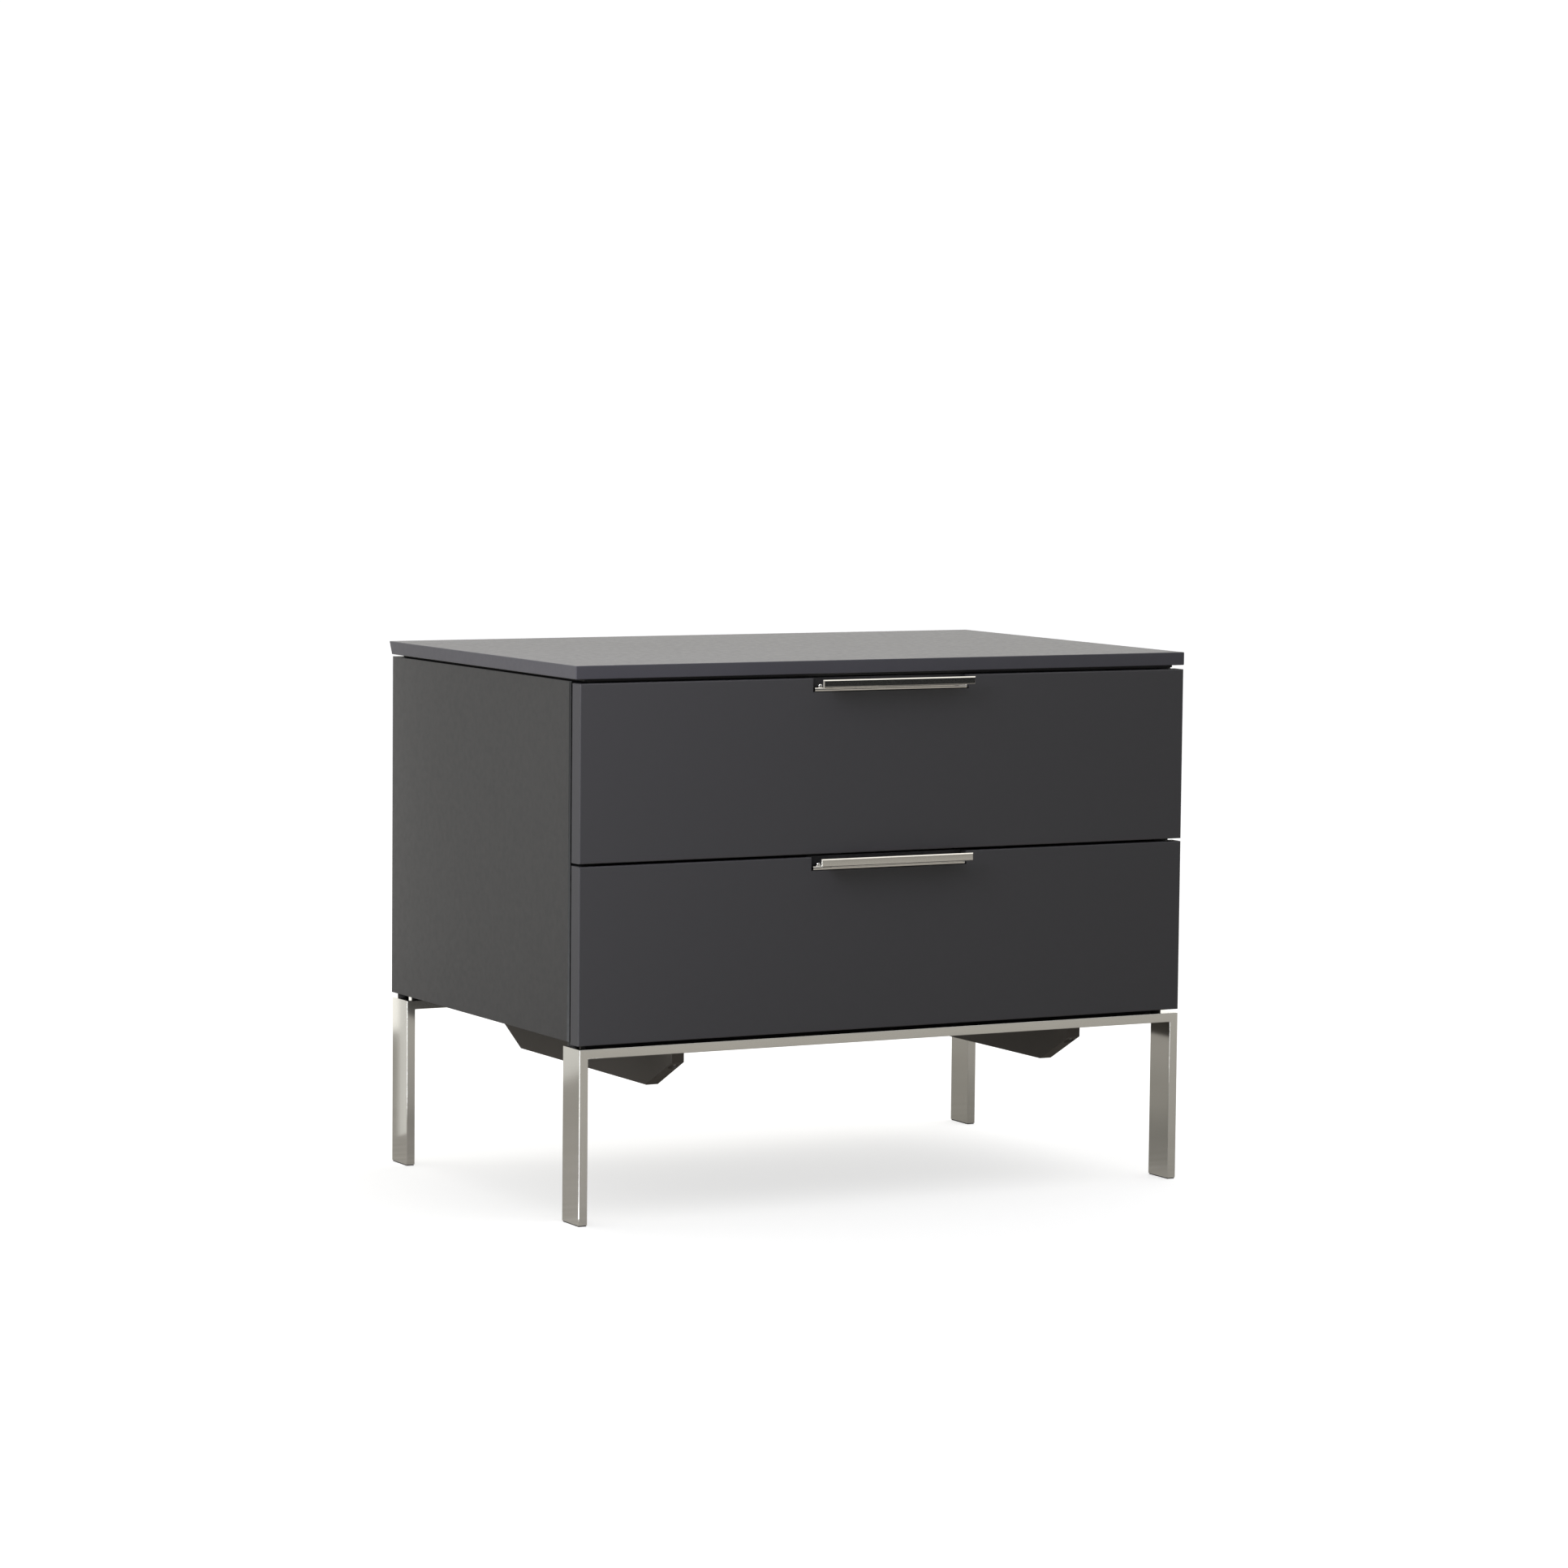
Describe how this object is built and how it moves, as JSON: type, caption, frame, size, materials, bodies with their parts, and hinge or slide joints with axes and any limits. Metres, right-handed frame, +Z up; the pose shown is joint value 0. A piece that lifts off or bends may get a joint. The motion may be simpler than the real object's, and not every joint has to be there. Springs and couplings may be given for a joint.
{
  "type": "nightstand",
  "caption": "Bedside cabinet with full-width stacked drawers, a thin top over a shadow gap, slim bar handles set in notches, and inverted-U flat-bar legs.",
  "frame": {"origin": "on the floor under the middle of the whole piece, handles included", "axes": "+Z up, X along the width, -Y towards the front where the drawers open"},
  "size_m": [0.6, 0.4, 0.471],
  "materials": {
    "anthracite_board": "matte melamine on particle board",
    "anthracite_lacquer": "matte lacquer on fibreboard",
    "beech_dowel": "plain beech",
    "black_plastic": "matte",
    "cast_zinc": "die cast zinc",
    "clear_bumper": "soft translucent",
    "drawer_board": "matte melamine",
    "handle_screw": "polished",
    "polished_bar": "polished",
    "polished_handle": "polished",
    "shadow_black": "matte black",
    "umber_lacquer": "matte lacquer",
    "zinc_screw": "zinc plated",
    "zinc_slide": "zinc plated"
  },
  "bodies": {
    "carcass": {"back_panel": "anthracite_lacquer", "back_panel_screws": "zinc_screw", "cabinet_rail_screws": "zinc_screw", "cam_bolts": "cast_zinc", "cam_locks": "cast_zinc", "carcass_bottom": "anthracite_board", "carcass_dowels": "beech_dowel", "carcass_top": "anthracite_board", "frame_screws": "zinc_screw", "front_left_leg": "polished_bar", "front_rail": "polished_bar", "front_right_leg": "polished_bar", "left_mounting_board": "umber_lacquer", "left_side_panel": "anthracite_lacquer", "leg_glides": "black_plastic", "lower_left_cabinet_rail": "zinc_slide", "lower_right_cabinet_rail": "zinc_slide", "mounting_board_screws": "zinc_screw", "rail_spacers": "black_plastic", "rear_left_leg": "polished_bar", "rear_rail": "polished_bar", "rear_right_leg": "polished_bar", "right_mounting_board": "umber_lacquer", "right_side_panel": "anthracite_lacquer", "shadow_spacer": "shadow_black", "top_panel": "anthracite_lacquer", "top_panel_screws": "zinc_screw", "upper_left_cabinet_rail": "zinc_slide", "upper_right_cabinet_rail": "zinc_slide"},
    "upper_middle_slides": {"upper_left_middle_rail": "zinc_slide", "upper_right_middle_rail": "zinc_slide"},
    "lower_middle_slides": {"lower_left_middle_rail": "zinc_slide", "lower_right_middle_rail": "zinc_slide"},
    "upper_drawer": {"upper_box_back": "drawer_board", "upper_box_bottom": "drawer_board", "upper_box_front": "drawer_board", "upper_box_left_side": "drawer_board", "upper_box_right_side": "drawer_board", "upper_bumpers": "clear_bumper", "upper_drawer_front": "anthracite_lacquer", "upper_front_screws": "zinc_screw", "upper_handle": "polished_handle", "upper_handle_screws": "handle_screw", "upper_left_drawer_rail": "zinc_slide", "upper_rail_screws": "zinc_screw", "upper_right_drawer_rail": "zinc_slide"},
    "lower_drawer": {"lower_box_back": "drawer_board", "lower_box_bottom": "drawer_board", "lower_box_front": "drawer_board", "lower_box_left_side": "drawer_board", "lower_box_right_side": "drawer_board", "lower_bumpers": "clear_bumper", "lower_drawer_front": "anthracite_lacquer", "lower_front_screws": "zinc_screw", "lower_handle": "polished_handle", "lower_handle_screws": "handle_screw", "lower_left_drawer_rail": "zinc_slide", "lower_rail_screws": "zinc_screw", "lower_right_drawer_rail": "zinc_slide"}
  },
  "joints": [
    {"name": "upper_drawer_slide", "type": "slide", "parent": "carcass", "child": "upper_drawer", "axis": [0, -1, 0], "range_m": [0, 0.3]},
    {"name": "upper_middle_slide", "type": "slide", "parent": "carcass", "child": "upper_middle_slides", "axis": [0, -1, 0], "range_m": [0, 0.15]},
    {"name": "lower_drawer_slide", "type": "slide", "parent": "carcass", "child": "lower_drawer", "axis": [0, -1, 0], "range_m": [0, 0.3]},
    {"name": "lower_middle_slide", "type": "slide", "parent": "carcass", "child": "lower_middle_slides", "axis": [0, -1, 0], "range_m": [0, 0.15]}
  ],
  "couplings": [
    {"joint": "upper_middle_slide", "follows": "upper_drawer_slide", "ratio": 0.5},
    {"joint": "lower_middle_slide", "follows": "lower_drawer_slide", "ratio": 0.5}
  ]
}
